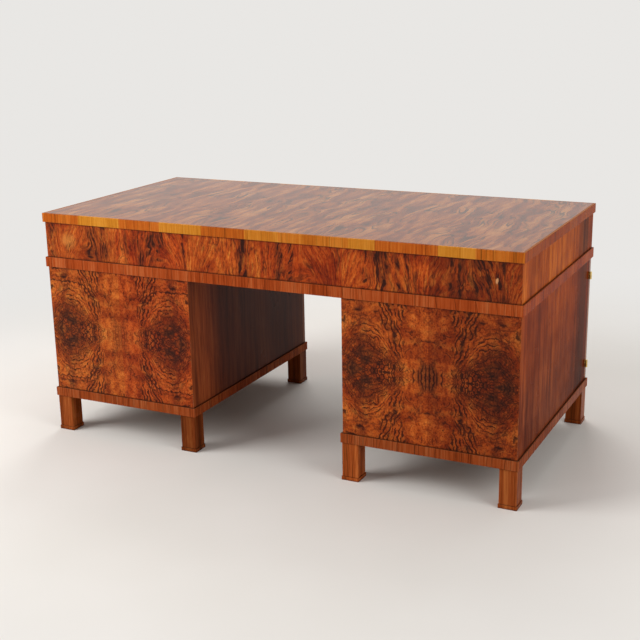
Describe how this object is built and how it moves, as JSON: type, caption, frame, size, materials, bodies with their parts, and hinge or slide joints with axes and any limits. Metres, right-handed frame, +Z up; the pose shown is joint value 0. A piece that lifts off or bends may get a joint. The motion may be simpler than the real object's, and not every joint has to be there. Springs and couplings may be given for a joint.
{
  "type": "writing desk",
  "caption": "Walnut pedestal writing desk with a finished back, a frieze of drawers, hinged pedestal doors on the user's side and an open kneehole.",
  "frame": {"origin": "on the floor, below the middle of everything the desk takes up, keys included", "axes": "+X along the desk to the right as seen from its finished back, +Y towards the user's side with the doors and drawers, +Z up"},
  "size_m": [1.691, 0.8694, 0.78],
  "materials": {
    "walnut_figured": "high-gloss polished burr walnut veneer",
    "walnut_straight": "high-gloss polished straight-grained walnut veneer",
    "walnut_crossband": "high-gloss polished cross-banded walnut",
    "walnut_top": "high-gloss polished walnut veneer",
    "walnut_underside": "satin walnut",
    "beech": "satin beech",
    "brass": "polished",
    "steel": "satin"
  },
  "bodies": {
    "desk": {"top_panel": "walnut_top", "top_edge_band": "walnut_crossband", "waist_board": "walnut_underside", "waist_band": "walnut_crossband", "frieze_back": "walnut_figured", "frieze_right_end": "walnut_straight", "frieze_left_end": "walnut_straight", "frieze_dividers": "walnut_straight", "drawer_kickers": "beech", "drawer_stops": "beech", "right_base_board": "walnut_underside", "left_base_board": "walnut_underside", "right_plinth_band": "walnut_crossband", "left_plinth_band": "walnut_crossband", "right_legs": "walnut_straight", "left_legs": "walnut_straight", "right_back_panel": "walnut_figured", "left_back_panel": "walnut_figured", "right_outer_side": "walnut_straight", "left_outer_side": "walnut_straight", "right_inner_side": "walnut_straight", "left_inner_side": "walnut_straight", "right_top_board": "beech", "left_top_board": "beech", "right_shelf": "beech", "left_shelf": "beech", "frieze_top_rail": "walnut_straight", "strike_plates": "brass", "feet": "walnut_straight", "shelf_pegs": "brass", "fixing_screws": "steel", "hinge_fixed_halves": "brass"},
    "left_door": {"left_door_panel": "walnut_figured", "left_hinge_moving_halves": "brass", "left_door_lock": "brass"},
    "left_door_bolt": {"left_door_bolt": "steel"},
    "left_door_key": {"left_door_key": "brass"},
    "right_door": {"right_door_panel": "walnut_figured", "right_hinge_moving_halves": "brass", "right_door_lock": "brass"},
    "right_door_bolt": {"right_door_bolt": "steel"},
    "right_door_key": {"right_door_key": "brass"},
    "left_drawer": {"left_drawer_front": "walnut_figured", "left_drawer_box": "beech", "left_drawer_bottom": "beech", "left_drawer_lock": "brass"},
    "left_drawer_bolt": {"left_drawer_bolt": "steel"},
    "left_drawer_key": {"left_drawer_key": "brass"},
    "centre_drawer": {"centre_drawer_front": "walnut_figured", "centre_drawer_box": "beech", "centre_drawer_bottom": "beech", "centre_drawer_lock": "brass"},
    "centre_drawer_bolt": {"centre_drawer_bolt": "steel"},
    "centre_drawer_key": {"centre_drawer_key": "brass"},
    "right_drawer": {"right_drawer_front": "walnut_figured", "right_drawer_box": "beech", "right_drawer_bottom": "beech", "right_drawer_lock": "brass"},
    "right_drawer_bolt": {"right_drawer_bolt": "steel"},
    "right_drawer_key": {"right_drawer_key": "brass"}
  },
  "joints": [
    {"name": "left_door_swing", "type": "hinge", "parent": "desk", "child": "left_door", "pos_m": [-0.84125, 0.37275, 0.3755], "axis": [0, 0, 1], "range_deg": [0, 180]},
    {"name": "left_door_key_turn", "type": "hinge", "parent": "left_door", "child": "left_door_key", "pos_m": [-0.326, 0.39325, 0.3755], "axis": [0, 1, 0], "range_deg": [0, 360]},
    {"name": "left_door_bolt_slide", "type": "slide", "parent": "left_door", "child": "left_door_bolt", "axis": [1, 0, 0], "range_m": [0, 0.008]},
    {"name": "right_door_swing", "type": "hinge", "parent": "desk", "child": "right_door", "pos_m": [0.84125, 0.37275, 0.3755], "axis": [0, 0, -1], "range_deg": [0, 180]},
    {"name": "right_door_key_turn", "type": "hinge", "parent": "right_door", "child": "right_door_key", "pos_m": [0.326, 0.39325, 0.3755], "axis": [0, 1, 0], "range_deg": [0, 360]},
    {"name": "right_door_bolt_slide", "type": "slide", "parent": "right_door", "child": "right_door_bolt", "axis": [-1, 0, 0], "range_m": [0, 0.008]},
    {"name": "left_drawer_slide", "type": "slide", "parent": "desk", "child": "left_drawer", "axis": [0, 1, 0], "range_m": [0, 0.45]},
    {"name": "left_drawer_key_turn", "type": "hinge", "parent": "left_drawer", "child": "left_drawer_key", "pos_m": [-0.555, 0.39325, 0.7], "axis": [0, 1, 0], "range_deg": [0, 360]},
    {"name": "left_drawer_bolt_slide", "type": "slide", "parent": "left_drawer", "child": "left_drawer_bolt", "axis": [0, 0, 1], "range_m": [0, 0.008]},
    {"name": "centre_drawer_slide", "type": "slide", "parent": "desk", "child": "centre_drawer", "axis": [0, 1, 0], "range_m": [0, 0.45]},
    {"name": "centre_drawer_key_turn", "type": "hinge", "parent": "centre_drawer", "child": "centre_drawer_key", "pos_m": [0, 0.39325, 0.7], "axis": [0, 1, 0], "range_deg": [0, 360]},
    {"name": "centre_drawer_bolt_slide", "type": "slide", "parent": "centre_drawer", "child": "centre_drawer_bolt", "axis": [0, 0, 1], "range_m": [0, 0.008]},
    {"name": "right_drawer_slide", "type": "slide", "parent": "desk", "child": "right_drawer", "axis": [0, 1, 0], "range_m": [0, 0.45]},
    {"name": "right_drawer_key_turn", "type": "hinge", "parent": "right_drawer", "child": "right_drawer_key", "pos_m": [0.555, 0.39325, 0.7], "axis": [0, 1, 0], "range_deg": [0, 360]},
    {"name": "right_drawer_bolt_slide", "type": "slide", "parent": "right_drawer", "child": "right_drawer_bolt", "axis": [0, 0, 1], "range_m": [0, 0.008]}
  ],
  "couplings": [
    {"joint": "left_door_bolt_slide", "follows": "left_door_key_turn", "m_per_rad": 0.0012732},
    {"joint": "right_door_bolt_slide", "follows": "right_door_key_turn", "m_per_rad": 0.0012732},
    {"joint": "left_drawer_bolt_slide", "follows": "left_drawer_key_turn", "m_per_rad": 0.0012732},
    {"joint": "centre_drawer_bolt_slide", "follows": "centre_drawer_key_turn", "m_per_rad": 0.0012732},
    {"joint": "right_drawer_bolt_slide", "follows": "right_drawer_key_turn", "m_per_rad": 0.0012732}
  ]
}
